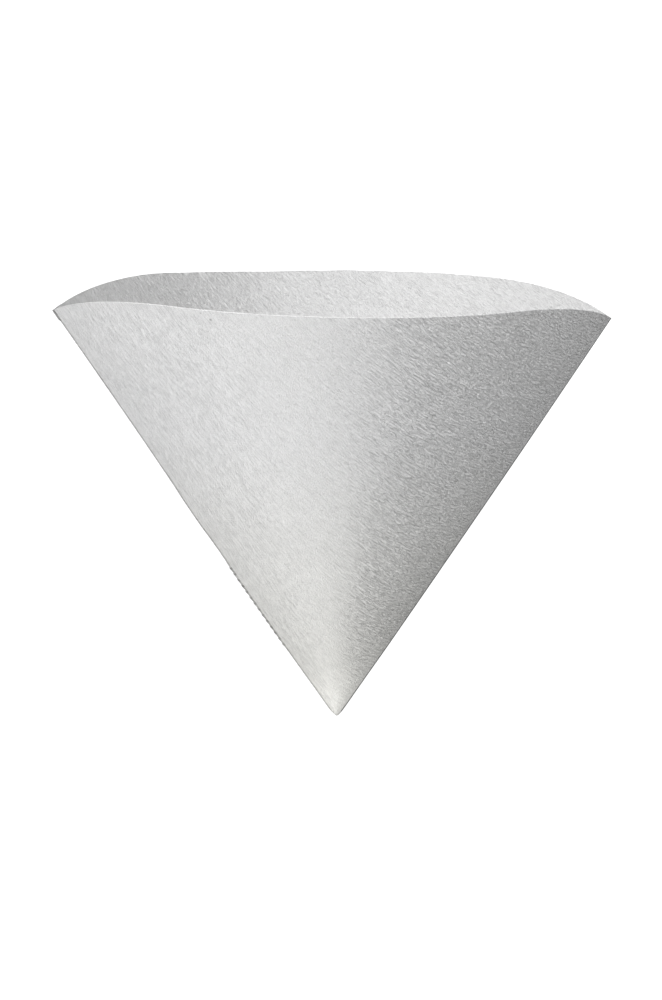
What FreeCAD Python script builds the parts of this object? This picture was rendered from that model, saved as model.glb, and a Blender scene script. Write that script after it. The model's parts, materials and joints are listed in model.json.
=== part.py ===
import FreeCAD, Part
import Sketcher
import math
import os
from FreeCAD import Placement, Rotation, Vector

# A cone coffee filter: one sheet of creped paper, folded once into a quarter circle of two plies,
# joined along one side by a crimped seam, and opened for use. The seam is folded back under the rear ply.
# The filter is drawn upright, tip down, front ply towards -Y and seam at -X, and then laid on its back.

# Driving dimensions: millimetres, degrees, and shares of the rise above the tip where "per rise" is said.
SIZES = (
    ("paper_thickness", 0.25, "creped filter paper"),
    ("rim_radius", 120.0, "radius of the cut rim"),
    ("rim_offset", 2.7, "centre of the rim's arc, towards the seam"),
    ("crease_half_angle", 34.0, "axis to either crease"),
    ("ply_half_angle", 29.3, "axis to the middle of the front ply"),
    ("centre_curve_share", 0.5365, "radius of a ply's middle, per rise"),
    ("flank_curve_share", 1.483, "radius of a ply's flatter sides, per rise"),
    ("rest_flat_share", 0.125, "half width of the flat that the rear ply rests on, per rise"),
    ("tip_rise", 0.66, "the pinched tip ends this far above the creases' crossing"),
    ("seam_width", 5.0, "crimped strip of two plies"),
    ("seam_gap", 0.25, "spring of the folded strip off the rear ply"),
    ("nose_radius", 0.75, "bend of the front ply round the seam fold"),
    ("crimp_pitch", 1.75, "from one crimp to the next"),
    ("crimp_width", 1.2, "a crimp at the strip's face"),
    ("crimp_depth", 0.18, "depth of a crimp"),
    ("crimp_margin", 4.0, "seam without crimps at either end"),
)

os.makedirs("parts", exist_ok=True)
doc = FreeCAD.newDocument("coffee_filter")
sheet = doc.addObject("Spreadsheet::Sheet", "sizes")
for row, (alias, value, note) in enumerate(SIZES, start=1):
    sheet.set(f"A{row}", note)
    sheet.set(f"B{row}", str(value))
    sheet.setAlias(f"B{row}", alias)
doc.recompute()
size = {alias: float(sheet.get(alias)) for alias, value, note in SIZES}

CREASE_ANGLE = math.radians(size["crease_half_angle"])
PLY_ANGLE = math.radians(size["ply_half_angle"])
STRIP_STACK = size["seam_gap"] + 2 * size["paper_thickness"]
CLEARANCE = 0.05  # keeps faces that would only graze each other apart

# The outline of the cone at a rise of 1: where each ply's middle arc ends and how its flank arcs lie.
half_width = math.tan(CREASE_ANGLE)
half_depth = math.tan(PLY_ANGLE)
arc_centre = half_depth - size["centre_curve_share"]
to_crease = math.hypot(half_width, arc_centre)
arc_difference = size["flank_curve_share"] - size["centre_curve_share"]
flank_share = size["flank_curve_share"] ** 2 - arc_difference ** 2 - to_crease ** 2
flank_turn = math.acos(flank_share / (2 * arc_difference * to_crease))
join_angle = math.atan2(half_width, -arc_centre) - flank_turn
flank_x = -arc_difference * math.sin(join_angle)
flank_y = arc_centre - arc_difference * math.cos(join_angle)
corner_angle = math.atan2(half_width - flank_x, -flank_y)
flat_angle = math.asin(size["rest_flat_share"] / size["centre_curve_share"])
flat_depth = arc_centre + size["centre_curve_share"] * math.cos(flat_angle)
REST_ANGLE = math.atan(flat_depth)

CENTRE_OFFSET = "(tan(sizes.ply_half_angle) - sizes.centre_curve_share)"  # of a ply's middle arc, per rise


def origin_plane(body, role):
    return next(f for f in body.Origin.OriginFeatures if f.Role == role)


def new_sketch(body, name, role):
    sketch = body.newObject("Sketcher::SketchObject", name)
    sketch.AttachmentSupport = [(origin_plane(body, role), "")]
    sketch.MapMode = "FlatFace"
    return sketch


def add_arc(sketch, x, y, radius, start, end):
    """Add an arc with its ends given as angles from +X, counter-clockwise."""
    circle = Part.Circle(Vector(x, y, 0), Vector(0, 0, 1), radius)
    return sketch.addGeometry(Part.ArcOfCircle(circle, start, end), False)


def bind(sketch, kind, places, value, expression):
    """Add a dimension and tie it to the sheet."""
    index = sketch.addConstraint(Sketcher.Constraint(kind, *places, value))
    sketch.setExpression(f"Constraints[{index}]", expression)


def cone_section(body, name, rise, rise_expression):
    """Draw the cone's outline at a rise above the virtual tip."""
    sketch = new_sketch(body, name, "XY_Plane")
    sketch.setExpression("AttachmentOffset.Base.z", rise_expression)
    middle = size["centre_curve_share"] * rise
    flank = size["flank_curve_share"] * rise
    x, y = flank_x * rise, flank_y * rise
    up = math.pi / 2
    front_left = add_arc(sketch, -x, -y, flank, 2 * up + up - corner_angle, 3 * up - join_angle)
    front = add_arc(sketch, 0, -arc_centre * rise, middle, 3 * up - join_angle, 3 * up + join_angle)
    front_right = add_arc(sketch, x, -y, flank, 3 * up + join_angle, 3 * up + corner_angle)
    back_right = add_arc(sketch, x, y, flank, up - corner_angle, up - join_angle)
    back = add_arc(sketch, 0, arc_centre * rise, middle, up - join_angle, up + join_angle)
    back_left = add_arc(sketch, -x, y, flank, up + join_angle, up + corner_angle)
    # constraint places are (curve, point), where point 1 is a start, 2 an end and 3 a centre
    for before, after in ((front_left, front), (front, front_right), (back_right, back), (back, back_left)):
        sketch.addConstraint(Sketcher.Constraint("Tangent", before, 2, after, 1))
    for before, after in ((front_right, back_right), (back_left, front_left)):
        sketch.addConstraint(Sketcher.Constraint("Coincident", before, 2, after, 1))
    sketch.addConstraint(Sketcher.Constraint("PointOnObject", front_left, 1, -1))
    sketch.addConstraint(Sketcher.Constraint("PointOnObject", front_right, 2, -1))
    width = f"{rise_expression} * tan(sizes.crease_half_angle)"
    bind(sketch, "DistanceX", (-1, 1, front_right, 2), half_width * rise, width)
    bind(sketch, "DistanceX", (front_left, 1, -1, 1), half_width * rise, width)
    for curve in (front, back):
        bind(sketch, "Radius", (curve,), middle, f"{rise_expression} * sizes.centre_curve_share")
    sketch.addConstraint(Sketcher.Constraint("PointOnObject", front, 3, -2))
    sketch.addConstraint(Sketcher.Constraint("PointOnObject", back, 3, -2))
    for curve in (front_left, front_right, back_right, back_left):
        bind(sketch, "Radius", (curve,), flank, f"{rise_expression} * sizes.flank_curve_share")
    offset = f"{rise_expression} * {CENTRE_OFFSET}"
    bind(sketch, "DistanceY", (-1, 1, front, 3), -arc_centre * rise, f"-{offset}")
    bind(sketch, "DistanceY", (-1, 1, back, 3), arc_centre * rise, offset)
    return sketch


def boolean(kind, name, base, tool):
    result = doc.addObject(kind, name)
    result.Base = base
    result.Tool = tool
    return result


def above_rest(name, length_in_radii, lift):
    """Box in what lies over the plane that the filter rests on, from two radii left of the middle."""
    box = doc.addObject("Part::Box", name)
    box.setExpression("Length", f"{length_in_radii} * sizes.rim_radius")
    box.setExpression("Width", "2 * sizes.rim_radius")
    box.setExpression("Height", "2 * sizes.rim_radius")
    turn = Rotation(Vector(1, 0, 0), -math.degrees(REST_ANGLE))
    corner = Vector(-2 * size["rim_radius"], -2 * size["rim_radius"] - lift, -2 * size["seam_width"])
    box.Placement = Placement(turn.multVec(corner), turn)
    return box


def cone(name, offset_expression):
    """Loft the opened filter's cone, rear ply pressed flat, offset outwards at every face."""
    body = doc.addObject("PartDesign::Body", f"{name}_round")
    mouth = cone_section(body, f"{name}_mouth", size["rim_radius"], "sizes.rim_radius")
    tip = cone_section(body, f"{name}_tip", size["tip_rise"], "sizes.tip_rise")
    loft = body.newObject("PartDesign::AdditiveLoft", f"{name}_loft")
    loft.Profile = mouth
    loft.Sections = [(tip, [""])]
    loft.Ruled = True
    mouth.Visibility = tip.Visibility = False
    pressed = boolean("Part::Common", name, body, resting_space)
    pressed.setExpression("Placement.Base.z", f"-({offset_expression}) / sin(sizes.ply_half_angle)")
    return pressed


# The paper's outer face, the hollow, and the two faces of the folded strip, all the same cone.
resting_space = above_rest("resting_space", 4, 0)
outer_cone = cone("outer_cone", "0 mm")
hollow_cone = cone("hollow_cone", "-sizes.paper_thickness")
strip_inside = cone("strip_inside", "sizes.seam_gap")
strip_outside = cone("strip_outside", "sizes.seam_gap + 2 * sizes.paper_thickness")

# The seam's own frame runs along the seam crease: x into the cone, y to the rear, z up the crease.
# lean is the angle between the rear ply and the plane of the two creases, seen along the crease.
lean = math.atan2(math.sin(corner_angle), math.cos(corner_angle) * math.cos(CREASE_ANGLE))
fold_reach = math.sin(2 * CREASE_ANGLE)
edge_tilt = math.atan2(fold_reach - math.cos(lean), math.sin(lean))
SEAM_TURN = Rotation(Vector(0, 1, 0), -size["crease_half_angle"])


def seam_prism(name, inset, nose, stack, width):
    """Pad, along the crease, the space from the front ply's face to the strip's free edge."""
    body = doc.addObject("PartDesign::Body", name)
    sketch = new_sketch(body, f"{name}_section", "XY_Plane")
    ahead = Vector(-math.cos(lean), math.sin(lean), 0)
    along = Vector(math.cos(lean), math.sin(lean), 0)
    outward = Vector(-math.sin(lean), math.cos(lean), 0)
    start = Vector(inset, 0, 0)
    corner = start + ahead * ((stack - outward.dot(start)) / outward.dot(ahead))
    edge_foot = Vector(width * fold_reach, 0, 0)
    edge_line = Vector(-math.sin(edge_tilt), math.cos(edge_tilt), 0)
    top = 2 * stack
    edge_head = edge_foot + edge_line * ((top - outward.dot(edge_foot)) / outward.dot(edge_line))
    if nose:
        back_off = nose / math.tan(lean)
        bend_start = corner - ahead * back_off
        bend_end = corner + along * back_off
        centre = bend_end - outward * nose
        bend_middle = centre + (corner - centre).normalize() * nose
        step = bend_end + outward * (top - stack)
        sketch.addGeometry(Part.LineSegment(start, bend_start), False)
        sketch.addGeometry(Part.Arc(bend_start, bend_middle, bend_end), False)
        sketch.addGeometry(Part.LineSegment(bend_end, step), False)
    else:
        step = corner + ahead * ((top - stack) / outward.dot(ahead))
        sketch.addGeometry(Part.LineSegment(start, step), False)
    sketch.addGeometry(Part.LineSegment(step, edge_head), False)
    sketch.addGeometry(Part.LineSegment(edge_head, edge_foot), False)
    sketch.addGeometry(Part.LineSegment(edge_foot, start), False)
    pad = body.newObject("PartDesign::Pad", f"{name}_pad")
    pad.Profile = sketch
    pad.setExpression("Length", "sizes.rim_radius * 1.1")
    sketch.Visibility = False
    body.Placement = Placement(Vector(0, 0, 0), SEAM_TURN)
    return body


seam_space = seam_prism("seam_space", CLEARANCE, size["nose_radius"], STRIP_STACK, size["seam_width"])
slot_inset = 2 * size["paper_thickness"] / math.sin(lean)
slot_space = seam_prism("slot_space", slot_inset, 0, size["seam_gap"], size["seam_width"] * 1.5)

# The strip's lower end lies flat against whatever the filter rests on, and stops at the middle of the ply.
strip_side = above_rest("strip_side", 2, CLEARANCE)
strip_blank = boolean("Part::Common", "strip_blank", strip_outside, seam_space)
slot_blank = boolean("Part::Common", "slot_blank", strip_inside, slot_space)
strip_folded = boolean("Part::Cut", "strip_folded", strip_blank, slot_blank)
strip = boolean("Part::Common", "strip", strip_folded, strip_side)

# Crimps: V grooves across the strip and round its fold, one pattern along the crease.
crimps = doc.addObject("PartDesign::Body", "crimps")
crimps.AllowCompound = True
tooth = new_sketch(crimps, "crimp_tooth", "XZ_Plane")
tooth_root = STRIP_STACK - size["crimp_depth"]
tooth_rise = 2 * size["crimp_depth"]
tooth_point = Vector(-tooth_root, size["crimp_margin"], 0)
tooth_low = tooth_point + Vector(-tooth_rise, -size["crimp_width"], 0)
tooth_high = tooth_point + Vector(-tooth_rise, size["crimp_width"], 0)
tooth_corners = (tooth_point, tooth_low, tooth_high)
for corner, following in zip(tooth_corners, tooth_corners[1:] + tooth_corners[:1]):
    tooth.addGeometry(Part.LineSegment(corner, following), False)
for side, following in ((0, 1), (1, 2), (2, 0)):
    tooth.addConstraint(Sketcher.Constraint("Coincident", side, 2, following, 1))
tooth.addConstraint(Sketcher.Constraint("Vertical", 1))
root_expression = "sizes.seam_gap + 2 * sizes.paper_thickness - sizes.crimp_depth"
bind(tooth, "DistanceX", (0, 1, -1, 1), tooth_root, root_expression)
bind(tooth, "DistanceX", (1, 1, 0, 1), tooth_rise, "2 * sizes.crimp_depth")
bind(tooth, "DistanceY", (-1, 1, 0, 1), size["crimp_margin"], "sizes.crimp_margin")
bind(tooth, "DistanceY", (1, 1, 0, 1), size["crimp_width"], "sizes.crimp_width")
bind(tooth, "DistanceY", (0, 1, 1, 2), size["crimp_width"], "sizes.crimp_width")
tooth_pad = crimps.newObject("PartDesign::Pad", "crimp_pad")
tooth_pad.Profile = tooth
tooth_pad.Midplane = True
tooth_pad.setExpression("Length", "4 * sizes.seam_width")
row_of_crimps = crimps.newObject("PartDesign::LinearPattern", "crimp_row")
row_of_crimps.Originals = [tooth_pad]
row_of_crimps.Direction = (tooth, ["V_Axis"])
crimped_length = size["rim_radius"] + size["rim_offset"] * math.sin(CREASE_ANGLE) - 2 * size["crimp_margin"]
crimp_steps = int(crimped_length / size["crimp_pitch"])
row_of_crimps.Occurrences = crimp_steps + 1
row_of_crimps.setExpression("Length", f"{crimp_steps} * sizes.crimp_pitch")
crimps.Tip = row_of_crimps
crimps.Placement = Placement(Vector(0, 0, 0), SEAM_TURN * Rotation(Vector(0, 0, 1), math.degrees(lean) - 90))

# The sheet: cone and strip joined, hollowed, crimped, and cut to the round rim.
blank = boolean("Part::Fuse", "blank", outer_cone, strip)
opened = boolean("Part::Cut", "opened", blank, hollow_cone)
crimped = boolean("Part::Cut", "crimped", opened, crimps)
rim_ball = doc.addObject("Part::Sphere", "rim_ball")
rim_ball.setExpression("Radius", "sizes.rim_radius")
rim_ball.setExpression("Placement.Base.x", "-sizes.rim_offset")
filter_paper = boolean("Part::Common", "filter_paper", crimped, rim_ball)
filter_paper.Label = "filter_paper"
doc.recompute()

# Laid on its back: the rear ply's flat comes level, and the origin is under the middle of the part.
lay_down = Rotation(Vector(1, 0, 0), math.degrees(REST_ANGLE) - 90)
filter_paper.Placement = Placement(Vector(0, 0, 0), lay_down)
laid = filter_paper.Shape.optimalBoundingBox()
filter_paper.Placement = Placement(Vector(-laid.Center.x, -laid.Center.y, 0), lay_down)
doc.recompute()

for item in doc.Objects:
    if "Invalid" in item.State or "Error" in item.State:
        raise RuntimeError(f"{item.Name} failed: {item.State}")
shape = filter_paper.Shape
if shape.isNull() or not shape.isValid() or len(shape.Solids) != 1:
    raise RuntimeError("filter_paper isn't one valid solid")
shape.exportStep("parts/filter_paper.step")

box = shape.optimalBoundingBox()
print(f"filter_paper: {box.XLength:.1f} x {box.YLength:.1f} x {box.ZLength:.1f} mm, lowest {box.ZMin:.4f}")
print(f"volume {shape.Volume:.1f} mm3, faces {len(shape.Faces)}, crimps {crimp_steps + 1}")
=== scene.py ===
import json
import math
import bmesh
import bpy
from mathutils import Matrix, Vector


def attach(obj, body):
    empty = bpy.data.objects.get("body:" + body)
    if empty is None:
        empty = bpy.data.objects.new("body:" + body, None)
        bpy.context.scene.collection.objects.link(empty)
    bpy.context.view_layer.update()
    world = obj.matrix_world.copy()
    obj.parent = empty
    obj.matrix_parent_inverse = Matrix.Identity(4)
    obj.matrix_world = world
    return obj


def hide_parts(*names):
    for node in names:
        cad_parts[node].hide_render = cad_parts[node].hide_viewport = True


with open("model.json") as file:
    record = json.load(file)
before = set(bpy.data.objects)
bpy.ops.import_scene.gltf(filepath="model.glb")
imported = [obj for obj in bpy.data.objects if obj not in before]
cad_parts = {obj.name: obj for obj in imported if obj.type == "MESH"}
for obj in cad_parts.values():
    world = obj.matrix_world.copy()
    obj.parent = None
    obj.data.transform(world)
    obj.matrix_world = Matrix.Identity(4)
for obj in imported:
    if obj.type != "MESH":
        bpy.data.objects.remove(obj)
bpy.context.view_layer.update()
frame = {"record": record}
MM = 0.001


# The stand: a plain white floor under a dim even sky, with soft lights in front, on both sides and behind.
# The camera looks down on the filter from in front of its tip.
CAMERA_AIM = Vector((0.66, -3.34, 0.0)) * MM
CAMERA_DISTANCE = 827.6 * MM
CAMERA_ELEVATION = math.radians(70.36)
CAMERA_AZIMUTH = math.radians(-6.74)
CAMERA_ROLL = math.radians(6.02)
CAMERA_SENSOR = 36
CAMERA_LENS = 118.8
CAMERA_REACH = 20
FLOOR_SIZE = 6.0
FLOOR_DROP = 0.1 * MM
FLOOR_COLOUR = (0.2, 0.2, 0.2, 1.0)
FLOOR_GLOW = 0.97
FLOOR_ROUGHNESS = 0.9
SKY_STRENGTH = 0.43
LIGHT_TARGET = Vector((0, 0, 0.04))
LIGHT_DISTANCE = 1.6
LIGHT_SIZE = 0.56
LIGHTS = {
    "front_light": (Vector((-0.3, -0.9, 1.0)), 12.6),
    "left_light": (Vector((-0.92, 0.38, 0.95)), 14.8),
    "back_light": (Vector((0.4, 0.6, 1.0)), 7.9),
    "right_light": (Vector((1.0, 0.0, 0.9)), 3.0),
}


def plain_material(name, colour, roughness):
    material = bpy.data.materials.new(name)
    material.use_nodes = True
    shader = material.node_tree.nodes["Principled BSDF"]
    shader.inputs["Base Color"].default_value = colour
    shader.inputs["Roughness"].default_value = roughness
    return material


def look_at(place, target, roll=0.0):
    """Give the matrix of a camera or lamp at a place that looks at a target."""
    turn = (target - place).to_track_quat("-Z", "Y").to_matrix().to_4x4()
    return Matrix.Translation(place) @ turn @ Matrix.Rotation(roll, 4, "Z")


floor_mesh = bpy.data.meshes.new("floor")
half = FLOOR_SIZE / 2
floor_corners = [(x * half, y * half, -FLOOR_DROP) for x, y in ((-1, -1), (1, -1), (1, 1), (-1, 1))]
floor_mesh.from_pydata(floor_corners, [], [(0, 1, 2, 3)])
floor = bpy.data.objects.new("floor", floor_mesh)
bpy.context.collection.objects.link(floor)
floor_white = plain_material("floor_white", FLOOR_COLOUR, FLOOR_ROUGHNESS)
floor_nodes = floor_white.node_tree.nodes
floor_shader = floor_nodes["Principled BSDF"]
floor_shader.inputs["Emission Color"].default_value = (1, 1, 1, 1)
seen = floor_nodes.new("ShaderNodeLightPath")
glow = floor_nodes.new("ShaderNodeMath")
glow.operation = "MULTIPLY"
glow.inputs[1].default_value = FLOOR_GLOW
floor_white.node_tree.links.new(seen.outputs["Is Camera Ray"], glow.inputs[0])
floor_white.node_tree.links.new(glow.outputs[0], floor_shader.inputs["Emission Strength"])
floor_mesh.materials.append(floor_white)

camera_data = bpy.data.cameras.new("camera")
camera_data.sensor_fit = "VERTICAL"
camera_data.sensor_height = CAMERA_SENSOR
camera_data.lens = CAMERA_LENS
camera_data.clip_end = CAMERA_REACH
camera = bpy.data.objects.new("camera", camera_data)
bpy.context.collection.objects.link(camera)
camera_direction = Vector((
    math.cos(CAMERA_ELEVATION) * math.sin(CAMERA_AZIMUTH),
    -math.cos(CAMERA_ELEVATION) * math.cos(CAMERA_AZIMUTH),
    math.sin(CAMERA_ELEVATION),
))
camera.matrix_world = look_at(CAMERA_AIM + camera_direction * CAMERA_DISTANCE, CAMERA_AIM, CAMERA_ROLL)
bpy.context.scene.camera = camera

for name, (direction, power) in LIGHTS.items():
    light_data = bpy.data.lights.new(name, "AREA")
    light_data.shape = "DISK"
    light_data.size = LIGHT_SIZE
    light_data.energy = power
    light = bpy.data.objects.new(name, light_data)
    bpy.context.collection.objects.link(light)
    light.matrix_world = look_at(LIGHT_TARGET + direction.normalized() * LIGHT_DISTANCE, LIGHT_TARGET)

world = bpy.data.worlds.new("sky")
bpy.context.scene.world = world
world.use_nodes = True
world.node_tree.nodes["Background"].inputs["Color"].default_value = (1, 1, 1, 1)
world.node_tree.nodes["Background"].inputs["Strength"].default_value = SKY_STRENGTH
bpy.context.scene.view_settings.view_transform = "Standard"


# The sheet: one quarter circle of creped filter paper to each side of a fold. Each ply is laid out flat
# here as it was cut, with the seam along its x, and the fold-and-open tree then wraps it round the cone.
PAPER = 0.25 * MM
RIM_RADIUS = 120 * MM
RIM_OFFSET = 2.7 * MM
CREASE_HALF_ANGLE = math.radians(34.0)
PLY_HALF_ANGLE = math.radians(29.3)
CENTRE_CURVE = 0.5365
FLANK_CURVE = 1.483
REST_FLAT = 0.125
REST_BLEND = 0.012
TIP_RISE = 0.66 * MM
TIP_ROUND = 0.9 * MM
SECTION_POINTS = 360
LEAD_IN = 0.3
ANGLE_MARGIN = 1e-9

half_width = math.tan(CREASE_HALF_ANGLE)
half_depth = math.tan(PLY_HALF_ANGLE)
arc_centre = half_depth - CENTRE_CURVE
arc_difference = FLANK_CURVE - CENTRE_CURVE
corner_reach = math.hypot(half_width, arc_centre)
flank_share = FLANK_CURVE ** 2 - arc_difference ** 2 - corner_reach ** 2
flank_share /= 2 * arc_difference * corner_reach
join_angle = math.atan2(half_width, -arc_centre) - math.acos(flank_share)
flank_x = -arc_difference * math.sin(join_angle)
flank_y = arc_centre - arc_difference * math.cos(join_angle)
corner_angle = math.atan2(half_width - flank_x, -flank_y)
flat_depth = arc_centre + math.sqrt(CENTRE_CURVE ** 2 - REST_FLAT ** 2)
rest_angle = math.atan(flat_depth)
lay_down = Matrix.Rotation(rest_angle - math.pi / 2, 3, "X")
axis_up = lay_down @ Vector((0, 0, 1))
tip_mount = next(m for m in frame["record"]["mounts"] if m["name"] == "dripper_cone")
apex = Vector(tip_mount["pos_m"]) - axis_up * TIP_RISE


def soft_min(a, b, blend):
    share = max(blend - abs(a - b), 0.0) / blend
    return min(a, b) - share * share * blend / 4


def section_point(angle, side):
    """Give the cone's outline at a rise of 1, by the angle across a ply from its middle."""
    turn = abs(angle)
    if turn <= join_angle:
        x, y = CENTRE_CURVE * math.sin(turn), arc_centre + CENTRE_CURVE * math.cos(turn)
    else:
        x, y = flank_x + FLANK_CURVE * math.sin(turn), flank_y + FLANK_CURVE * math.cos(turn)
    if side > 0:
        y = soft_min(y, flat_depth, REST_BLEND)
    return Vector((math.copysign(x, angle), side * y, 1.0))


def section_directions(side):
    """List directions from the tip, from the seam crease across a ply to the fold."""
    angles = [corner_angle * (2 * i / SECTION_POINTS - 1) for i in range(SECTION_POINTS + 1)]
    return [(lay_down @ section_point(angle, side)).normalized() for angle in angles]


def along(directions):
    lengths = [0.0]
    for before, after in zip(directions, directions[1:]):
        lengths.append(lengths[-1] + before.angle(after))
    return lengths


def polyline(name, points):
    """Make a curve object of straight runs, which a tree samples by length."""
    curve = bpy.data.curves.new(name, "CURVE")
    curve.dimensions = "3D"
    spline = curve.splines.new("POLY")
    spline.points.add(len(points) - 1)
    for place, point in zip(spline.points, points):
        place.co = (*point, 1.0)
    result = bpy.data.objects.new(name, curve)
    bpy.context.collection.objects.link(result)
    return result


# Each section curve starts LEAD_IN radians ahead of the seam crease, so that the strip, which runs beyond it,
# finds its place too.
FRONT, REAR = -1, 1
directions = {side: section_directions(side) for side in (FRONT, REAR)}
lengths = {side: along(directions[side]) for side in (FRONT, REAR)}
sections = {}
for side, name in ((FRONT, "front_section"), (REAR, "rear_section")):
    start, following = directions[side][0], directions[side][1]
    ahead = (start - following).normalized()
    lead_in = [start * math.cos(t) + ahead * math.sin(t) for t in (LEAD_IN, LEAD_IN * 2 / 3, LEAD_IN / 3)]
    sections[side] = polyline(name, lead_in + directions[side])


# How far the rear rim is cut from a true circle, in mm, by the place across it in mm, from the seam side.
REAR_TRIM = (
    (-70, 0), (-48, 0), (-35, -0.4), (-12, -0.6), (-2, -0.78), (7, -0.35), (14, 0.1), (26, 0.27),
    (42, 0.15), (70, 0),
)


def rim_at(side, share):
    """Give the rim's flat angle and radius, by the share of the way from the seam crease to the fold."""
    angle = lengths[side][-1] * share
    index = max(i for i, length in enumerate(lengths[side]) if length <= angle + ANGLE_MARGIN)
    sideways = directions[side][index].x
    radius = -RIM_OFFSET * sideways + math.sqrt(RIM_RADIUS ** 2 - RIM_OFFSET ** 2 * (1 - sideways ** 2))
    if side == REAR:
        across = sideways * RIM_RADIUS / MM
        for (start, before), (end, after) in zip(REAR_TRIM, REAR_TRIM[1:]):
            if start <= across < end:
                ease = (1 - math.cos(math.pi * (across - start) / (end - start))) / 2
                radius += (before + (after - before) * ease) * MM
    return angle, radius


BLANK = 260 * MM
BLANK_SPARE = 10 * MM
MERGE_REACH = 1e-7
SLIVER = 1e-8
EDGE_REACH = 3 * MM
FOLD_LINE_SHARE = 0.3
EVEN_ROWS = 0.35


def closed_sheet(name, points, rows, columns, side, crease_distance):
    """Make a closed slab of paper over a grid of flat points, with the blank's own layout as its UV map."""
    width = columns + 1
    count = len(points)
    vertices = [(p.x, p.y, PAPER / 2) for p in points] + [(p.x, p.y, -PAPER / 2) for p in points]
    faces = []
    for i in range(rows):
        for j in range(columns):
            corner = i * width + j
            quad = (corner, corner + 1, corner + 1 + width, corner + width)
            faces.append(quad)
            faces.append(tuple(v + count for v in reversed(quad)))
    around = list(range(width)) + [i * width + columns for i in range(1, rows + 1)]
    around += [rows * width + j for j in range(columns - 1, -1, -1)]
    around += [i * width for i in range(rows - 1, 0, -1)]
    for here, following in zip(around, around[1:] + around[:1]):
        faces.append((here, here + count, following + count, following))
    mesh = bpy.data.meshes.new(name)
    mesh.from_pydata(vertices, [], faces)
    layout = mesh.uv_layers.new(name="blank")
    for corner in mesh.loops:
        x, y, _ = vertices[corner.vertex_index]
        layout.data[corner.index].uv = (0.5 + side * x / BLANK, (y + BLANK_SPARE) / BLANK)
    # Distance to the nearest crease, which sets where the painted crease shade falls.
    line = mesh.attributes.new("to_crease", "FLOAT", "POINT")
    for index, point in enumerate(points + points):
        line.data[index].value = min(crease_distance(point) / EDGE_REACH, 1.0)
    merged = bmesh.new()
    merged.from_mesh(mesh)
    bmesh.ops.remove_doubles(merged, verts=merged.verts, dist=MERGE_REACH)
    bmesh.ops.dissolve_degenerate(merged, edges=merged.edges, dist=SLIVER)
    bmesh.ops.recalc_face_normals(merged, faces=merged.faces)
    if side == FRONT:
        bmesh.ops.reverse_faces(merged, faces=merged.faces)
    merged.to_mesh(mesh)
    merged.free()
    result = bpy.data.objects.new(name, mesh)
    bpy.context.collection.objects.link(result)
    return result


def flat_ply(name, side, rows, columns, seam_start):
    """Lay out one ply as cut, with the rows of its grid along the crepe."""
    full, fold_radius = rim_at(side, 1.0)
    first = seam_start / fold_radius
    along_fold = Vector((math.cos(full), math.sin(full)))
    points = []
    for i in range(rows + 1):
        even = i / rows
        crowded = math.sin(even * math.pi / 2)
        level = first + (1 - first) * (EVEN_ROWS * even + (1 - EVEN_ROWS) * crowded)
        angle, radius = rim_at(side, math.asin(min(level, 1.0)) / (math.pi / 2))
        fold_point = along_fold * fold_radius * level
        rim_point = Vector((math.cos(angle), math.sin(angle))) * radius
        points += [fold_point.lerp(rim_point, j / columns) for j in range(columns + 1)]

    # Distance to the crease for the painted crease shade; the fold's is shrunk so that its painted dark line
    # is wider.
    def crease_distance(point):
        from_fold = abs(along_fold.x * point.y - along_fold.y * point.x)
        return min(point.y - seam_start, from_fold * FOLD_LINE_SHARE)

    return closed_sheet(name, points, rows, columns, side, crease_distance)


def add(tree, kind, inputs=None, **settings):
    """Add a node, set its settings, and feed its inputs from values or from other nodes."""
    node = tree.nodes.new(kind)
    for name, value in settings.items():
        setattr(node, name, value)
    for key, value in (inputs or {}).items():
        if isinstance(value, bpy.types.NodeSocket):
            tree.links.new(value, node.inputs[key])
        else:
            node.inputs[key].default_value = value
    return node


def calc(tree, operation, *values, clamp=False):
    node = add(tree, "ShaderNodeMath", dict(enumerate(values)), operation=operation, use_clamp=clamp)
    return node.outputs[0]


def vector(tree, operation, *values):
    output = 1 if operation in ("LENGTH", "DOT_PRODUCT") else 0
    if operation == "SCALE":
        values = {0: values[0], "Scale": values[1]}
    else:
        values = dict(enumerate(values))
    return add(tree, "ShaderNodeVectorMath", values, operation=operation).outputs[output]


def xyz(tree, x=0.0, y=0.0, z=0.0):
    return add(tree, "ShaderNodeCombineXYZ", {0: x, 1: y, 2: z}).outputs[0]


def blend(tree, kind, factor, first, second):
    node = add(tree, "ShaderNodeMix", data_type=kind)
    sockets = [socket for socket in node.inputs if socket.enabled]
    for socket, value in zip(sockets, (factor, first, second)):
        if isinstance(value, bpy.types.NodeSocket):
            tree.links.new(value, socket)
        else:
            socket.default_value = value
    return next(socket for socket in node.outputs if socket.enabled)


def soft_curve(tree, value, points):
    """A smooth curve through given points."""
    node = add(tree, "ShaderNodeFloatCurve", {"Value": value})
    line = node.mapping.curves[0]
    node.mapping.clip_min_y = -1.0
    line.points[0].location = points[0]
    line.points[-1].location = points[-1]
    for x, y in points[1:-1]:
        line.points.new(x, y)
    node.mapping.update()
    return node.outputs[0]


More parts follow.
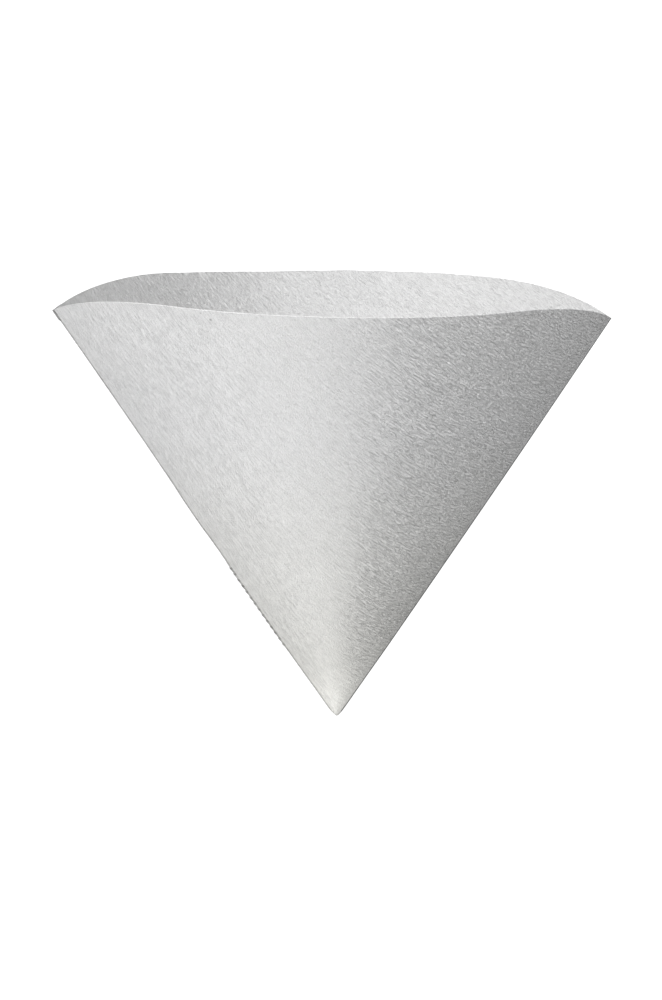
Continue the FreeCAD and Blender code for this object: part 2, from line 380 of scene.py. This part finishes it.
# How far each crease bows out from straight, in mm, by the share of the way from the tip to the rim.
SEAM_BOW = (
    (0, 0), (0.05, -0.15), (0.1, -0.05), (0.2, 0.1), (0.34, 0.15), (0.42, 0.0), (0.5, 0.2), (0.6, -0.08),
    (0.8, -0.28), (1, -0.2),
)
FOLD_BOW = ((0, 0), (0.04, 0.05), (0.12, 0.15), (0.2, 0.28), (0.65, 0.3), (0.8, 0.15), (1, -0.1))
CREPE_ALONG = 4.5 * MM
CREPE_ACROSS = 1.1 * MM
CREPE_FADE = 0.8 * MM
CREPE_DEPTH = 0.12 * MM
CREPE_NOISE = {"Scale": 1.0, "Detail": 2.0, "Roughness": 0.55}
CREPE_CONTRAST = 1.7
CREPE_SINK = 1.35
STRIP_MARGIN = 1e-7
FOLD_MARGIN = 1e-4
TOOTH_RAMP = 0.5 / MM
SEAM_END_RAMP = 3 / MM
SEAM_END_RISE = 0.8
BEND_ENTRY = 0.3
LEAST_DROP = 1e-6
LEAST_ROOM = 0.03
FLOOR_EASE = 0.06 * MM
crease_lean = math.atan2(math.sin(corner_angle), math.cos(corner_angle) * math.cos(CREASE_HALF_ANGLE))
fold_line = directions[FRONT][-1]
fold_outward = (Vector((1, 0, 0)) - fold_line * fold_line.x).normalized() / math.sin(crease_lean)


def fold_tree():
    """Build the tree that crepes a flat ply or strip and wraps it round the cone."""
    tree = bpy.data.node_groups.new("fold_and_open", "GeometryNodeTree")
    for name, kind in (
        ("Sheet", "Geometry"), ("Ply Section", "Object"), ("Rear Section", "Object"),
        ("Strip Path", "Object"), ("Front", "Float"), ("Ply Angle", "Float"), ("Apex", "Vector"),
        ("Axis", "Vector"), ("Fold Outward", "Vector"), ("Rim Radius", "Float"), ("Thickness", "Float"),
        ("Tip Rise", "Float"), ("Tip Round", "Float"), ("Seam Start", "Float"), ("Strip Stack", "Float"),
        ("Crepe Depth", "Float"), ("Crimp Depth", "Float"), ("Crimp Pitch", "Float"),
        ("Crimp Start", "Float"), ("Tooth Depth", "Float"), ("Tooth Middle", "Float"),
        ("Tooth Span", "Float"), ("End Start", "Float"), ("Seed", "Float"), ("Paper", "Material"),
    ):
        tree.interface.new_socket(name, in_out="INPUT", socket_type=f"NodeSocket{kind}")
    tree.interface.new_socket("Sheet", in_out="OUTPUT", socket_type="NodeSocketGeometry")
    given = tree.nodes.new("NodeGroupInput").outputs

    position = add(tree, "GeometryNodeInputPosition").outputs[0]
    x, y, z = add(tree, "ShaderNodeSeparateXYZ", {0: position}).outputs
    past = calc(tree, "MAXIMUM", calc(tree, "SUBTRACT", given["Seam Start"], y), 0.0)
    in_strip = calc(tree, "LESS_THAN", y, calc(tree, "SUBTRACT", given["Seam Start"], STRIP_MARGIN))

    # Crepe: long low waves along the sheet's x, which die out at the creases and never stand proud.
    stretched = vector(tree, "DIVIDE", xyz(tree, x, y), (CREPE_ALONG, CREPE_ACROSS, 1.0))
    seeded = vector(tree, "ADD", stretched, xyz(tree, z=given["Seed"]))
    noise = add(tree, "ShaderNodeTexNoise", {"Vector": seeded, **CREPE_NOISE})
    waves = calc(tree, "MULTIPLY_ADD", noise.outputs[0], CREPE_CONTRAST, -CREPE_SINK)
    flat_radius = vector(tree, "LENGTH", xyz(tree, x, y))
    flat_angle = calc(tree, "ARCTAN2", y, x)
    to_fold = calc(tree, "MULTIPLY", calc(tree, "SUBTRACT", given["Ply Angle"], flat_angle), flat_radius)
    to_seam = calc(tree, "SUBTRACT", y, given["Seam Start"])
    to_crease = calc(tree, "MINIMUM", to_fold, to_seam)
    fade = calc(tree, "DIVIDE", to_crease, CREPE_FADE, clamp=True)
    crepe = calc(tree, "MULTIPLY", calc(tree, "MULTIPLY", waves, fade), given["Crepe Depth"])

    # The strip leaves the crease along its own path over the rear ply, and is crimped across.
    path = add(tree, "GeometryNodeObjectInfo", {0: given["Strip Path"]}).outputs["Geometry"]
    on_path = add(tree, "GeometryNodeSampleCurve", {"Curves": path, "Length": past}, mode="LENGTH").outputs
    path_a, path_h, _ = add(tree, "ShaderNodeSeparateXYZ", {0: on_path["Position"]}).outputs
    run_a, run_h, _ = add(tree, "ShaderNodeSeparateXYZ", {0: on_path["Tangent"]}).outputs
    outer = calc(tree, "MULTIPLY_ADD", given["Front"], 2.0, -1.0)
    pitches = calc(tree, "DIVIDE", x, given["Crimp Pitch"])
    beyond_bend = calc(tree, "SUBTRACT", past, given["Crimp Start"])
    crimp = calc(tree, "SINE", calc(tree, "MULTIPLY", pitches, 2 * math.pi))
    crimp = calc(tree, "MULTIPLY", crimp, calc(tree, "DIVIDE", beyond_bend, CREPE_FADE, clamp=True))
    crimp = calc(tree, "MULTIPLY", crimp, given["Crimp Depth"])

    # Towards the tip the crimping iron ran over the crease and left saw teeth on it, and at the rim the
    # seam's end stands out a little.
    from_middle = calc(tree, "ABSOLUTE", calc(tree, "SUBTRACT", x, given["Tooth Middle"]))
    half_span = calc(tree, "MULTIPLY", given["Tooth Span"], 0.5)
    tooth = calc(tree, "MULTIPLY", calc(tree, "SUBTRACT", half_span, from_middle), TOOTH_RAMP, clamp=True)
    tooth = calc(tree, "MULTIPLY", calc(tree, "FRACT", pitches), tooth)
    past_end = calc(tree, "SUBTRACT", x, given["End Start"])
    seam_end = calc(tree, "MULTIPLY", past_end, SEAM_END_RAMP, clamp=True)
    tooth = calc(tree, "MULTIPLY_ADD", seam_end, SEAM_END_RISE, tooth)
    entry = calc(tree, "MULTIPLY", given["Crimp Start"], BEND_ENTRY)
    onto_bend = calc(tree, "DIVIDE", past, entry, clamp=True)
    off_bend = calc(tree, "SUBTRACT", 1.0, calc(tree, "DIVIDE", beyond_bend, CREPE_FADE, clamp=True))
    tooth = calc(tree, "MULTIPLY", tooth, calc(tree, "MULTIPLY", onto_bend, off_bend))
    tooth = calc(tree, "MULTIPLY", tooth, given["Tooth Depth"])
    crimp = calc(tree, "MULTIPLY_ADD", tooth, given["Front"], crimp)
    strip_z = calc(tree, "MULTIPLY", calc(tree, "MULTIPLY_ADD", crimp, outer, z), outer)
    strip_across = calc(tree, "SUBTRACT", path_a, calc(tree, "MULTIPLY", run_h, strip_z))
    strip_height = calc(tree, "MULTIPLY_ADD", run_a, strip_z, path_h)

    # Place on the cone: the flat radius and angle pick the ruling that this bit of paper lies on.
    across = blend(tree, "FLOAT", in_strip, y, strip_across)
    radius = vector(tree, "LENGTH", xyz(tree, x, across))
    angle = calc(tree, "ARCTAN2", across, x)
    ruling, turn = [], []
    for section in ("Ply Section", "Rear Section"):
        curve = add(tree, "GeometryNodeObjectInfo", {0: given[section]}).outputs["Geometry"]
        length = calc(tree, "ADD", angle, LEAD_IN)
        sample = add(tree, "GeometryNodeSampleCurve", {"Curves": curve, "Length": length}, mode="LENGTH")
        ruling.append(sample.outputs["Position"])
        turn.append(sample.outputs["Tangent"])
    direction = vector(tree, "NORMALIZE", blend(tree, "VECTOR", in_strip, *ruling))
    tangent = blend(tree, "VECTOR", in_strip, *turn)
    facing = blend(tree, "FLOAT", in_strip, calc(tree, "MULTIPLY", outer, -1.0), 1.0)
    normal = vector(tree, "NORMALIZE", vector(tree, "CROSS_PRODUCT", direction, tangent))
    normal = vector(tree, "SCALE", normal, facing)
    at_fold = calc(tree, "GREATER_THAN", angle, calc(tree, "SUBTRACT", given["Ply Angle"], FOLD_MARGIN))
    at_fold = calc(tree, "MULTIPLY", at_fold, calc(tree, "SUBTRACT", 1.0, in_strip))
    normal = blend(tree, "VECTOR", at_fold, normal, given["Fold Outward"])
    middle = vector(tree, "ADD", given["Apex"], vector(tree, "SCALE", direction, radius))

    # Where the strip has no room over the floor, near the tip, it is pressed thin.
    half_paper = calc(tree, "MULTIPLY", given["Thickness"], 0.5)
    outside = vector(tree, "ADD", middle, vector(tree, "SCALE", normal, half_paper))
    rise = add(tree, "ShaderNodeSeparateXYZ", {0: outside}).outputs[2]
    drop = calc(tree, "MULTIPLY", add(tree, "ShaderNodeSeparateXYZ", {0: normal}).outputs[2], -1.0)
    needed = calc(tree, "MAXIMUM", calc(tree, "MULTIPLY", drop, given["Strip Stack"]), LEAST_DROP)
    room = calc(tree, "MAXIMUM", calc(tree, "DIVIDE", rise, needed, clamp=True), LEAST_ROOM)
    pressed = calc(tree, "MULTIPLY_ADD", calc(tree, "SUBTRACT", strip_height, half_paper), room, half_paper)
    height = blend(tree, "FLOAT", in_strip, calc(tree, "ADD", z, crepe), pressed)

    # The creases bow out a little, and the pinched tip is rounded.
    share = calc(tree, "DIVIDE", radius, given["Rim Radius"])
    fold_side = calc(tree, "DIVIDE", angle, given["Ply Angle"], clamp=True)
    seam_side = calc(tree, "SUBTRACT", 1.0, fold_side)
    fold_bow = calc(tree, "MULTIPLY", soft_curve(tree, share, FOLD_BOW), calc(tree, "POWER", fold_side, 2.0))
    seam_bow = calc(tree, "MULTIPLY", soft_curve(tree, share, SEAM_BOW), calc(tree, "POWER", seam_side, 2.0))
    bow = xyz(tree, calc(tree, "MULTIPLY", calc(tree, "SUBTRACT", fold_bow, seam_bow), MM))
    tip_rounds = calc(tree, "DIVIDE", radius, calc(tree, "MULTIPLY", given["Tip Round"], -1.0))
    pinch = calc(tree, "MULTIPLY", calc(tree, "EXPONENT", tip_rounds), given["Tip Rise"])
    place = vector(tree, "ADD", middle, vector(tree, "SCALE", normal, height))
    place = vector(tree, "ADD", place, bow)
    place = vector(tree, "ADD", place, vector(tree, "SCALE", given["Axis"], pinch))
    place_x, place_y, place_z = add(tree, "ShaderNodeSeparateXYZ", {0: place}).outputs
    place = xyz(tree, place_x, place_y, calc(tree, "SMOOTH_MAX", place_z, 0.0, FLOOR_EASE))

    folded = add(tree, "GeometryNodeSetPosition", {"Geometry": given["Sheet"], "Position": place}).outputs[0]
    smooth = add(tree, "GeometryNodeSetShadeSmooth", {"Geometry": folded}).outputs[0]
    real = add(tree, "GeometryNodeRealizeInstances", {0: smooth}).outputs[0]
    dressed = add(tree, "GeometryNodeSetMaterial", {"Geometry": real, "Material": given["Paper"]}).outputs[0]
    add(tree, "NodeGroupOutput", {0: dressed})
    return tree


# How strong the coarse crepe and the fine streaks are, by the share of the half turn that both plies make
# when they lie flat, over the rear ply to the fold and on over the front ply. The coarse crepe fades within
# COARSE_FROM_TIP mm of the tip. Scales are per mm, along the crepe and across it.
# These strengths set both the bumps and the painted shade: crests painted lighter, troughs painted darker.
COARSE_PLACES = (
    (0, 0.7), (0.12, 0.65), (0.28, 0.25), (0.49, 0.15),
    (0.505, 1), (0.66, 0.85), (0.8, 0.1), (1, 0),
)
COARSE_FROM_TIP = 32.0
STREAK_PLACES = (
    (0, 0.3), (0.25, 0.4), (0.35, 0.75), (0.49, 0.85),
    (0.51, 0.3), (0.72, 0.35), (0.8, 0.5), (0.9, 1), (1, 1),
)
STREAK_SCALE = (0.27, 3.3)
STREAK_SHARPNESS = 5.0
STREAK_NOISE = dict(Detail=1.0, Roughness=0.6, Distortion=0.3)
NETWORK_SCALE = (1.3, 2.3)
NETWORK_SHARPNESS = 5.0
NETWORK_NOISE = dict(Detail=1.0, Roughness=0.6, Distortion=0.8)
COARSE_SCALE = (0.4, 2.1)
COARSE_SHARPNESS = 4.0
COARSE_NOISE = dict(Detail=2.0, Roughness=0.75, Distortion=0.7)
GRAIN_SCALE = (3.6, 4.4)
CLOUD_NOISE = {"Scale": 0.12, "Detail": 3.0}
PLAIN_SHADE = 0.7
CLOUD_SHADE = 0.06
GRAIN_SHADE = 0.62
# Painted shade on the crepe: its crests are painted lighter and its troughs darker, by these amounts.
STREAK_PAINTED_SHADE = 0.3
NETWORK_PAINTED_SHADE = 0.05
COARSE_PAINTED_SHADE = 0.42


def fibre_group():
    """Build the group that gives creped paper its height and its tone with painted crepe shade, from the
    place on the blank in mm.
    """
    group = bpy.data.node_groups.new("creped_fibre", "ShaderNodeTree")
    group.interface.new_socket("From Tip", in_out="INPUT", socket_type="NodeSocketVector")
    for name in ("Crepe", "Network", "Coarse", "Grain"):
        group.interface.new_socket(name, in_out="INPUT", socket_type="NodeSocketFloat")
    for name in ("Height", "Shade"):
        group.interface.new_socket(name, in_out="OUTPUT", socket_type="NodeSocketFloat")
    given = group.nodes.new("NodeGroupInput").outputs
    layout = given["From Tip"]

    def ridges(scale, sharpness, noise):
        """Thin crests where a stretched noise crosses its middle."""
        stretched = vector(group, "MULTIPLY", layout, (*scale, 1.0))
        value = add(group, "ShaderNodeTexNoise", {"Vector": stretched, "Scale": 1.0, **noise}).outputs[0]
        away = calc(group, "ABSOLUTE", calc(group, "SUBTRACT", value, 0.5))
        return calc(group, "SUBTRACT", 1.0, calc(group, "MULTIPLY", away, sharpness, clamp=True))

    crepe = ridges(STREAK_SCALE, STREAK_SHARPNESS, STREAK_NOISE)
    network = ridges(NETWORK_SCALE, NETWORK_SHARPNESS, NETWORK_NOISE)
    coarse = ridges(COARSE_SCALE, COARSE_SHARPNESS, COARSE_NOISE)
    across, up, _ = add(group, "ShaderNodeSeparateXYZ", {0: layout}).outputs
    turn = calc(group, "DIVIDE", calc(group, "ARCTAN2", up, across), math.pi)
    from_tip = calc(group, "DIVIDE", vector(group, "LENGTH", layout), COARSE_FROM_TIP, clamp=True)
    places = calc(group, "MULTIPLY", soft_curve(group, turn, COARSE_PLACES), from_tip)
    coarse_height = calc(group, "MULTIPLY", places, given["Coarse"])
    streaked = soft_curve(group, turn, STREAK_PLACES)
    crepe = calc(group, "MULTIPLY", calc(group, "SUBTRACT", crepe, 0.5), streaked)
    grain = add(group, "ShaderNodeTexNoise", {
        "Vector": vector(group, "MULTIPLY", layout, (*GRAIN_SCALE, 1.0)), "Scale": 1.0, "Detail": 1.0,
    }).outputs[0]
    cloud = add(group, "ShaderNodeTexNoise", {"Vector": layout, **CLOUD_NOISE}).outputs[0]
    height = calc(group, "MULTIPLY", crepe, given["Crepe"])
    height = calc(group, "MULTIPLY_ADD", network, given["Network"], height)
    height = calc(group, "MULTIPLY_ADD", coarse, coarse_height, height)
    height = calc(group, "MULTIPLY_ADD", grain, given["Grain"], height)
    shade = calc(group, "MULTIPLY_ADD", cloud, CLOUD_SHADE, PLAIN_SHADE)
    shade = calc(group, "MULTIPLY_ADD", grain, GRAIN_SHADE, shade)
    # Painted shade: the crepe's crests are painted lighter and its troughs darker.
    shade = calc(group, "MULTIPLY_ADD", crepe, STREAK_PAINTED_SHADE, shade)
    shade = calc(group, "MULTIPLY_ADD", calc(group, "SUBTRACT", network, 0.5), NETWORK_PAINTED_SHADE, shade)
    coarse_painted_shade = calc(group, "MULTIPLY", calc(group, "SUBTRACT", coarse, 0.5), places)
    shade = calc(group, "MULTIPLY_ADD", coarse_painted_shade, COARSE_PAINTED_SHADE, shade)
    output = group.nodes.new("NodeGroupOutput")
    group.links.new(height, output.inputs["Height"])
    group.links.new(shade, output.inputs["Shade"])
    return group


# The paper's colours, bumps and creases, with painted light near the tip and painted shade along the creases.
# Reaches, spans and places along the seam are in mm from the tip.
PAPER_COLOUR = (0.72, 0.72, 0.72)
TIP_COLOUR = (0.725, 0.72, 0.685)
PAPER_ROUGHNESS = 0.92
PAPER_SPECULAR = 0.2
TIP_TINT_REACH = 85.0
# Painted light: the paper is made brighter near the tip.
TIP_PAINTED_LIGHT_REACH = 18.0
TIP_PAINTED_LIGHT_RAMP = 1.6
TIP_PAINTED_LIGHT = 0.18
STREAK_BUMP = 0.09 * MM
NETWORK_BUMP = 0.08 * MM
COARSE_BUMP = 0.6 * MM
GRAIN_BUMP = 0.2 * MM
# Painted shade along the creases, darkest between the saw teeth and at the seam's end, and along the fold.
PAINTED_CREASE_REACH = 0.09
CREASE_SHARPNESS = 1.6
CREASE_PAINTED_SHADE = 0.72
TOOTH_PAINTED_SHADE = 0.48
FOLD_PAINTED_SHADE = 0.22
TOOTH_MIDDLE = 34.0
TOOTH_SPAN = 27.0
SEAM_END_START = 118.4
TOOTH_END = 0.5
TOOTH_GAP = 0.68
FOLD_FROM = 2.0
# Dark fibres caught in the sheet: the place on the blank from its tip, and the radius, in mm.
SPECKS = ((-102.5, 58.9, 0.42), (-105.0, 57.7, 0.3))
SPECK_SHARPNESS = 4.0
SPECK_SHADE = -0.42
CRIMP_PITCH = 1.75 * MM
FIRST_SEED = 3.0
SHARP_ANGLE = math.radians(50)
fibre = fibre_group()


def paper_material():
    material = plain_material("creped_paper", (*PAPER_COLOUR, 1.0), PAPER_ROUGHNESS)
    tree = material.node_tree
    shader = tree.nodes["Principled BSDF"]
    shader.inputs["Specular IOR Level"].default_value = PAPER_SPECULAR
    layout = add(tree, "ShaderNodeUVMap", uv_map="blank").outputs[0]
    from_tip = vector(tree, "SUBTRACT", layout, (0.5, BLANK_SPARE / BLANK, 0.0))
    from_tip = vector(tree, "SCALE", from_tip, BLANK / MM)
    paper = add(tree, "ShaderNodeGroup", node_tree=fibre)
    tree.links.new(from_tip, paper.inputs["From Tip"])
    paper.inputs["Crepe"].default_value = STREAK_BUMP
    paper.inputs["Network"].default_value = NETWORK_BUMP
    paper.inputs["Coarse"].default_value = COARSE_BUMP
    paper.inputs["Grain"].default_value = GRAIN_BUMP

    # Painted shade darkens the creases, most of all between the saw teeth and at the seam's end, and a
    # painted dark line runs along the fold; a few dark fibres show on the front.
    shade = paper.outputs["Shade"]
    painted_crease_mask = add(tree, "ShaderNodeAttribute", attribute_name="to_crease").outputs["Fac"]
    painted_crease_mask = calc(tree, "SUBTRACT", 1.0, calc(tree, "DIVIDE", painted_crease_mask, PAINTED_CREASE_REACH))
    painted_crease_mask = calc(tree, "MULTIPLY", painted_crease_mask, CREASE_SHARPNESS, clamp=True)
    across, up, _ = add(tree, "ShaderNodeSeparateXYZ", {0: from_tip}).outputs
    from_middle = calc(tree, "ABSOLUTE", calc(tree, "SUBTRACT", calc(tree, "ABSOLUTE", across), TOOTH_MIDDLE))
    to_end = calc(tree, "SUBTRACT", TOOTH_SPAN / 2, from_middle)
    seam_shadow_mask = calc(tree, "MULTIPLY", to_end, TOOTH_END, clamp=True)
    gaps = calc(tree, "FRACT", calc(tree, "DIVIDE", calc(tree, "ABSOLUTE", across), CRIMP_PITCH / MM))
    seam_shadow_mask = calc(tree, "MULTIPLY", seam_shadow_mask, calc(tree, "GREATER_THAN", gaps, TOOTH_GAP))
    at_end = calc(tree, "GREATER_THAN", calc(tree, "ABSOLUTE", across), SEAM_END_START)
    seam_shadow_mask = calc(tree, "MAXIMUM", seam_shadow_mask, at_end)
    at_fold = calc(tree, "GREATER_THAN", up, FOLD_FROM)
    painted_darkening = calc(tree, "MULTIPLY_ADD", seam_shadow_mask, TOOTH_PAINTED_SHADE - CREASE_PAINTED_SHADE, CREASE_PAINTED_SHADE - 1)
    painted_darkening = blend(tree, "FLOAT", at_fold, painted_darkening, FOLD_PAINTED_SHADE - 1)
    shade = calc(tree, "MULTIPLY", shade, calc(tree, "MULTIPLY_ADD", painted_crease_mask, painted_darkening, 1.0))
    for speck_x, speck_y, speck_radius in SPECKS:
        off = vector(tree, "LENGTH", vector(tree, "SUBTRACT", from_tip, (speck_x, speck_y, 0.0)))
        speck = calc(tree, "MULTIPLY", calc(tree, "SUBTRACT", speck_radius, off), SPECK_SHARPNESS, clamp=True)
        shade = calc(tree, "MULTIPLY", shade, calc(tree, "MULTIPLY_ADD", speck, SPECK_SHADE, 1.0))
    # Painted light brightens the paper near the tip, and the colour warms towards the tip.
    radius = vector(tree, "LENGTH", from_tip)
    near_tip = calc(tree, "SUBTRACT", 1.0, calc(tree, "DIVIDE", radius, TIP_PAINTED_LIGHT_REACH))
    painted_tip_light = calc(tree, "MULTIPLY", near_tip, TIP_PAINTED_LIGHT_RAMP, clamp=True)
    shade = calc(tree, "MULTIPLY", shade, calc(tree, "MULTIPLY_ADD", painted_tip_light, TIP_PAINTED_LIGHT, 1.0))
    warm = calc(tree, "SUBTRACT", 1.0, calc(tree, "DIVIDE", radius, TIP_TINT_REACH, clamp=True))
    colour = blend(tree, "RGBA", warm, (*PAPER_COLOUR, 1.0), (*TIP_COLOUR, 1.0))
    tree.links.new(vector(tree, "SCALE", colour, shade), shader.inputs["Base Color"])
    bump = add(tree, "ShaderNodeBump", {"Height": paper.outputs["Height"], "Distance": 1.0, "Strength": 1.0})
    tree.links.new(bump.outputs[0], shader.inputs["Normal"])
    return material


paper = paper_material()
folding = fold_tree()


def fold_and_open(piece, side, strip_path, **own):
    """Wrap a flat piece round the cone, and keep the result as a plain mesh."""
    values = {
        "Ply Section": sections[side], "Rear Section": sections[REAR], "Strip Path": strip_path,
        "Front": 1.0 if side == FRONT else 0.0, "Ply Angle": lengths[side][-1], "Apex": apex, "Axis": axis_up,
        "Fold Outward": fold_outward, "Rim Radius": RIM_RADIUS, "Thickness": PAPER, "Tip Rise": TIP_RISE,
        "Tip Round": TIP_ROUND, "Seam Start": seam_start[side], "Strip Stack": strip_stack,
        "Crepe Depth": CREPE_DEPTH, "Crimp Pitch": CRIMP_PITCH, "Crimp Start": crimp_start,
        "Tooth Depth": TOOTH_DEPTH, "Tooth Middle": TOOTH_MIDDLE * MM, "Tooth Span": TOOTH_SPAN * MM,
        "End Start": SEAM_END_START * MM, "Seed": FIRST_SEED + side, "Paper": paper, **own,
    }
    modifier = piece.modifiers.new("fold_and_open", "NODES")
    modifier.node_group = folding
    for socket in folding.interface.items_tree:
        if socket.in_out == "INPUT" and socket.name in values:
            modifier[socket.identifier] = values[socket.name]
    folded = bpy.data.meshes.new_from_object(piece.evaluated_get(bpy.context.evaluated_depsgraph_get()))
    piece.modifiers.clear()
    piece.data = folded
    folded.set_sharp_from_angle(angle=SHARP_ANGLE)
    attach(piece, "root")
    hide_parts("filter_paper")


# The seam: beyond the crease both plies run on as a strip, crimped together and folded back under the rear
# ply. The rear ply's strip turns right back, and the front ply's strip goes round it and lies outside.
SEAM_WIDTH = 5 * MM
SEAM_GAP = 0.25 * MM
CRIMP_DEPTH = 0.09 * MM
TOOTH_DEPTH = 0.23 * MM
BEND_STEPS = 8
STRIP_STEPS = 10
STRIP_COLUMNS = 420
STRIP_END_ANGLE = math.radians(30)

strip_stack = SEAM_GAP + 2 * PAPER
turn_back = (SEAM_GAP + PAPER) / 2
turn_over = turn_back + PAPER
heading = math.pi - 2 * crease_lean
bend_centre = Vector(((turn_over + turn_back * math.cos(heading)) / math.sin(heading), turn_back))
seam_start = {FRONT: 0.0, REAR: bend_centre.x}
crimp_start = turn_over * (math.pi - heading) + bend_centre.x


def bend(radius, start, end):
    angles = [start + (end - start) * i / BEND_STEPS for i in range(BEND_STEPS + 1)]
    return [bend_centre + Vector((math.cos(t), math.sin(t))) * radius for t in angles]


def level_run(start, height):
    step = (SEAM_WIDTH - start) / STRIP_STEPS
    return [Vector((start + step * i, height)) for i in range(1, STRIP_STEPS + 1)]


up = math.pi / 2
over = [Vector((0, 0))] + bend(turn_over, up + heading, up) + level_run(bend_centre.x, turn_back + turn_over)
back = bend(turn_back, 3 * up, up) + level_run(bend_centre.x, 2 * turn_back)
strip_runs = {FRONT: over, REAR: back}
strip_paths = {}
for side in (FRONT, REAR):
    strip_paths[side] = polyline(f"strip_path_{side + 1}", [(*point, 0.0) for point in strip_runs[side]])


def flat_strip(name, side):
    """Lay out a ply's half of the seam strip as cut, beyond the crease."""
    seam_radius = rim_at(side, 0.0)[1]
    past, points = 0.0, []
    run = strip_runs[side]
    for before, here in zip(run[:1] + run, run):
        past += (here - before).length
        start = TIP_RISE + past / math.tan(STRIP_END_ANGLE)
        y = seam_start[side] - past
        end = math.sqrt(seam_radius ** 2 - y ** 2)
        points += [Vector((start + (end - start) * j / STRIP_COLUMNS, y)) for j in range(STRIP_COLUMNS + 1)]

    # The strip's bend gets the painted crease shade in full, fading out just past where the crimping starts.
    def bend_distance(point):
        return max(seam_start[side] - point.y - crimp_start, 0.0)

    return closed_sheet(name, points, len(run) - 1, STRIP_COLUMNS, side, bend_distance)


bpy.context.view_layer.update()
ROWS, COLUMNS = 300, 110
for side, name in ((FRONT, "front"), (REAR, "rear")):
    ply = flat_ply(f"{name}_ply", side, ROWS, COLUMNS, seam_start[side])
    fold_and_open(ply, side, strip_paths[side], **{"Crimp Depth": 0.0, "Tooth Depth": 0.0})
    strip = flat_strip(f"{name}_strip", side)
    fold_and_open(strip, side, strip_paths[side], **{"Crimp Depth": CRIMP_DEPTH})
for helper in list(sections.values()) + list(strip_paths.values()):
    bpy.data.objects.remove(helper)
